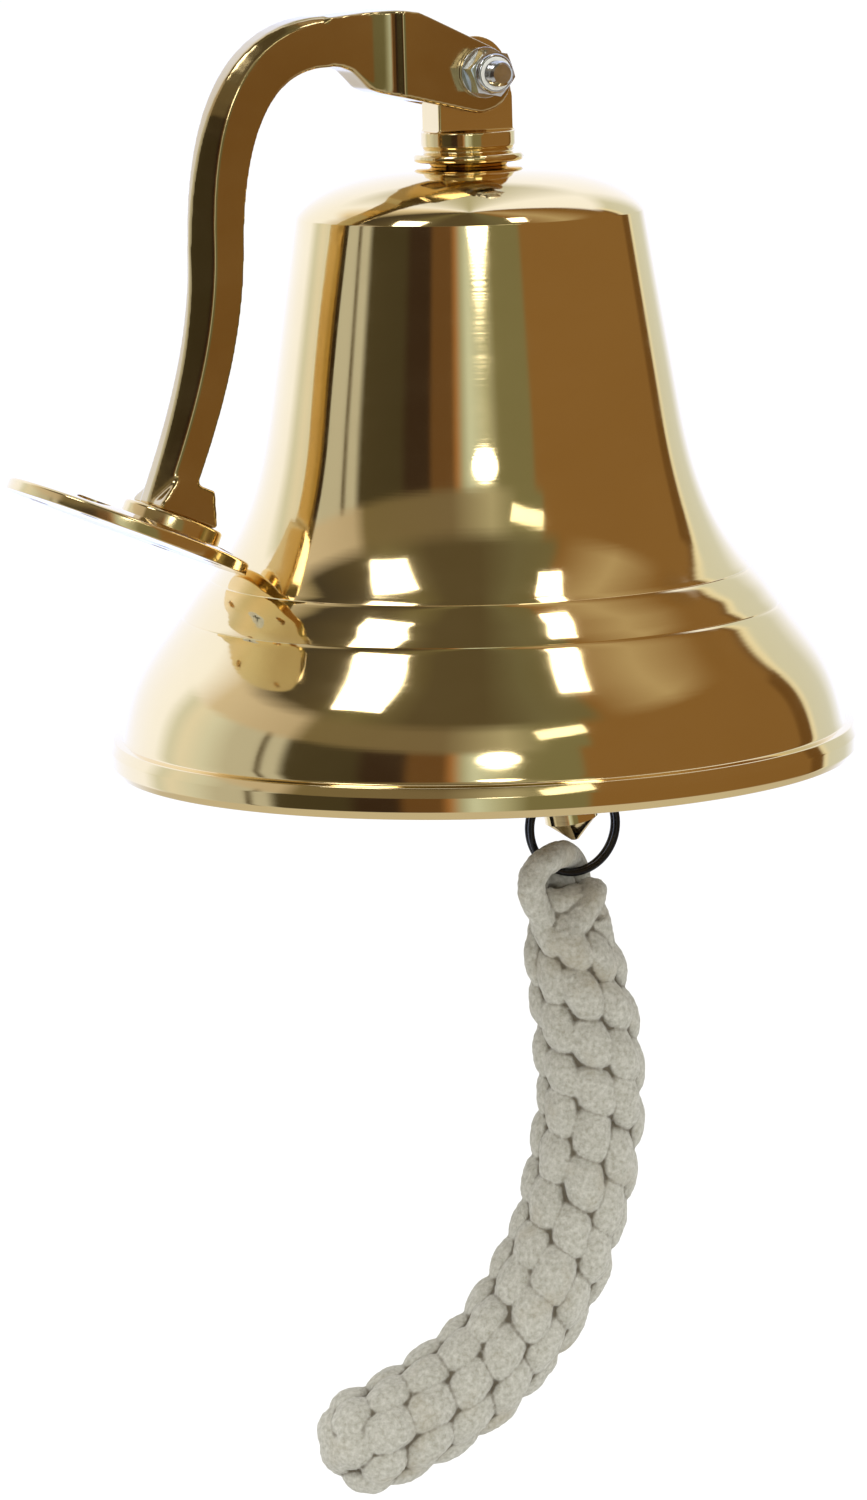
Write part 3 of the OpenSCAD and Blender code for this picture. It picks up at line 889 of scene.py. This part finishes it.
# ---------------------------------------------------------------- CAD nodes that keep their shape
KEPT = {"foot_screw": ZINC, "nylon_insert": NYLON, "crown_washer": STEM_BRASS, "crown_nut": STEM_BRASS,
        "clapper_eye": STEM_BRASS, "clapper_link": STEM_BRASS, "clapper_rod": STEM_BRASS,
        "clapper_ball": STEM_BRASS, "clapper_tail": STEM_BRASS}
for node, mat in KEPT.items():
    slots = frame["nodes"][node].data.materials
    slots.clear()
    slots.append(mat)

# ---------------------------------------------------------------- stage, light and world
FLOOR_DROP = 0.25
FLOOR_HALF = 40
FLOOR_COLOUR = (0.86, 0.86, 0.85, 1)


def floor():
    """A pale floor well below the hanging bell. It is clear from beneath and in the brass's reflections."""
    z = cad_box[0].z - FLOOR_DROP
    corners = [(x * FLOOR_HALF, y * FLOOR_HALF, z) for x, y in ((-1, -1), (1, -1), (1, 1), (-1, 1))]
    mesh = mesh_of("floor", corners, [[0, 1, 2, 3]])
    obj = new_object("floor", mesh, 0)
    mat, tree, shader = material("floor")
    shader.inputs["Base Color"].default_value = FLOOR_COLOUR
    shader.inputs["Roughness"].default_value = 0.9
    side = add(tree, "ShaderNodeNewGeometry").outputs["Backfacing"]
    glossy = add(tree, "ShaderNodeLightPath").outputs["Is Glossy Ray"]
    unseen = add(tree, "ShaderNodeMath", {0: side, 1: glossy}, operation="MAXIMUM").outputs[0]
    clear = add(tree, "ShaderNodeBsdfTransparent")
    both = add(tree, "ShaderNodeMixShader", {0: unseen, 1: shader.outputs[0], 2: clear.outputs[0]})
    out = next(n for n in tree.nodes if n.type == "OUTPUT_MATERIAL")
    tree.links.new(both.outputs[0], out.inputs[0])
    obj.data.materials.append(mat)


floor()


LAMP_DISTANCE = 2.0


def lamp(name, azimuth, elevation, wide, high, radiance, tilt=0.0, colour=(1, 1, 1), shape="RECTANGLE"):
    """A lamp that faces the bell. Its place, size and tilt are angles in degrees as seen from the
    bell, and azimuth runs from the camera's side towards its right."""
    data = bpy.data.lights.new(name, "AREA")
    data.shape = shape
    data.size = 2 * LAMP_DISTANCE * math.tan(math.radians(wide / 2))
    data.size_y = 2 * LAMP_DISTANCE * math.tan(math.radians(high / 2))
    filled = math.pi / 4 if shape == "ELLIPSE" else 1.0
    data.energy = radiance * math.pi * data.size * data.size_y * filled
    data.color = colour
    obj = bpy.data.objects.new(name, data)
    bpy.context.scene.collection.objects.link(obj)
    a, e = math.radians(CAMERA_AZIMUTH + azimuth), math.radians(elevation)
    out = Vector((math.sin(a) * math.cos(e), -math.cos(a) * math.cos(e), math.sin(e)))
    obj.location = at(0, 0, -100) + out * LAMP_DISTANCE
    obj.rotation_mode = "QUATERNION"
    obj.rotation_quaternion = (out.to_track_quat("Z", "Y")
                               @ Matrix.Rotation(math.radians(tilt), 3, "Z").to_quaternion())


lamp("lamp_left", -55, 53, 15, 17, 5, tilt=12)
lamp("lamp_right", 47, 60, 8, 12, 5, tilt=-20)
lamp("lamp_strip", 26, 31, 15, 6, 1.9, tilt=8, colour=(1.0, 0.98, 0.85))
lamp("lamp_front", 4, 18, 13, 7, 5, shape="ELLIPSE")

# The room that the brass shows. Each tier is a turn round it from behind the bell, by the camera's left,
# past the camera at a half, to behind again.
WHITE = (1.08, 1.2, 1.6)
WALL = (0.56, 0.59, 0.6)
CREAM = (0.72, 0.8, 0.86)
WINDOW = (0.65, 0.78, 0.8)
SHADE = (0.042, 0.026, 0.017)
LINE_SHADE = (0.1, 0.08, 0.05)
GLEAM = (1.0, 1.0, 0.9)
DIM = (0.5, 0.53, 0.45)
OLIVE = (0.21, 0.21, 0.125)
WOOD = (0.26, 0.15, 0.055)
DUSK = (0.106, 0.087, 0.051)
RUST = (0.144, 0.078, 0.032)
BARK = (0.16, 0.085, 0.028)
EYE_TIER = [(0.0, WHITE), (0.145, WHITE), (0.17, CREAM), (0.19, (0.85, 0.88, 0.92)), (0.22, CREAM),
            (0.25, WALL), (0.281, WALL), (0.284, LINE_SHADE), (0.288, LINE_SHADE), (0.291, WALL),
            (0.305, WALL), (0.315, (0.07, 0.06, 0.035)), (0.38, (0.062, 0.053, 0.03)), (0.392, SHADE),
            (0.425, SHADE), (0.432, RUST), (0.462, RUST), (0.47, (0.4, 0.2, 0.08)), (0.48, (0.45, 0.5, 0.45)),
            (0.49, WINDOW), (0.515, (0.45, 0.5, 0.42)), (0.535, OLIVE), (0.583, OLIVE), (0.59, WOOD),
            (0.825, WOOD), (0.83, BARK), (0.848, BARK), (0.853, GLEAM), (0.862, CREAM), (0.9, CREAM),
            (0.94, WHITE), (1.0, WHITE)]
UPPER_TIER = [(0.0, WHITE), (0.15, WHITE), (0.2, (0.7, 0.65, 0.6)), (0.305, (0.55, 0.5, 0.44)),
              (0.325, (0.2, 0.17, 0.1)), (0.46, (0.2, 0.165, 0.11)), (0.52, (0.45, 0.45, 0.36)),
              (0.56, OLIVE), (0.595, OLIVE), (0.602, WOOD), (0.835, WOOD), (0.845, BARK), (0.853, GLEAM),
              (0.865, CREAM), (0.9, CREAM), (0.94, WHITE), (1.0, WHITE)]
CEILING_TIER = [(0.0, DIM), (0.1, WHITE), (0.15, (0.9, 0.85, 0.8)), (0.21, (0.3, 0.27, 0.2)),
                (0.225, (0.065, 0.055, 0.04)), (0.3, DUSK), (0.35, (0.18, 0.165, 0.09)), (0.42, DUSK),
                (0.5, DUSK), (0.56, (0.16, 0.155, 0.1)), (0.615, (0.17, 0.16, 0.09)), (0.63, WOOD),
                (0.72, (0.5, 0.41, 0.27)), (0.8, WOOD), (0.83, (0.2, 0.12, 0.05)), (0.845, WHITE),
                (0.92, WHITE), (1.0, DIM)]
# The heights, as the upward part of a direction, between which one tier gives way to the next
UPPER_FROM = (0.37, 0.42)
CEILING_FROM = (0.58, 0.68)
AIR = 1.25
BELOW = (0.62, 0.60, 0.55)
BELOW_FROM = (-0.5, -0.3)


def world():
    """White round about for the eye and for soft light, and the room in the brass's reflections."""
    scene_world = bpy.data.worlds.new("studio")
    bpy.context.scene.world = scene_world
    scene_world.use_nodes = True
    tree = scene_world.node_tree
    tree.nodes.clear()
    where = add(tree, "ShaderNodeTexCoord").outputs["Generated"]
    turn = (0, 0, math.radians(90 - CAMERA_AZIMUTH))
    turned = add(tree, "ShaderNodeMapping", {"Vector": where, "Rotation": turn}, vector_type="POINT")
    gradient = add(tree, "ShaderNodeTexGradient", {"Vector": turned.outputs[0]}, gradient_type="RADIAL")
    around = gradient.outputs["Fac"]
    height = add(tree, "ShaderNodeSeparateXYZ", {"Vector": where}).outputs["Z"]
    room = ramp(tree, around, EYE_TIER)
    for tier, (low, high) in ((UPPER_TIER, UPPER_FROM), (CEILING_TIER, CEILING_FROM)):
        up = ramp(tree, height, grey(0, 1, low, high))
        colours = ramp(tree, around, tier)
        room = add(tree, "ShaderNodeMix", {0: up, 6: room, 7: colours}, data_type="RGBA").outputs[2]
    low, high = BELOW_FROM
    down = add(tree, "ShaderNodeMapRange", {"Value": height, 1: low, 2: high, 3: 1, 4: 0}).outputs[0]
    room = add(tree, "ShaderNodeMix", {0: down, 6: room, 7: (*BELOW, 1)}, data_type="RGBA").outputs[2]
    reflected = add(tree, "ShaderNodeBackground", {"Color": room, "Strength": 1.0})
    air = add(tree, "ShaderNodeBackground", {"Color": (1, 1, 1, 1), "Strength": AIR})
    glossy = add(tree, "ShaderNodeLightPath").outputs["Is Glossy Ray"]
    both = add(tree, "ShaderNodeMixShader", {0: glossy, 1: air.outputs[0], 2: reflected.outputs[0]})
    out = add(tree, "ShaderNodeOutputWorld")
    tree.links.new(both.outputs[0], out.inputs[0])


world()
bpy.context.scene.view_settings.view_transform = "Standard"
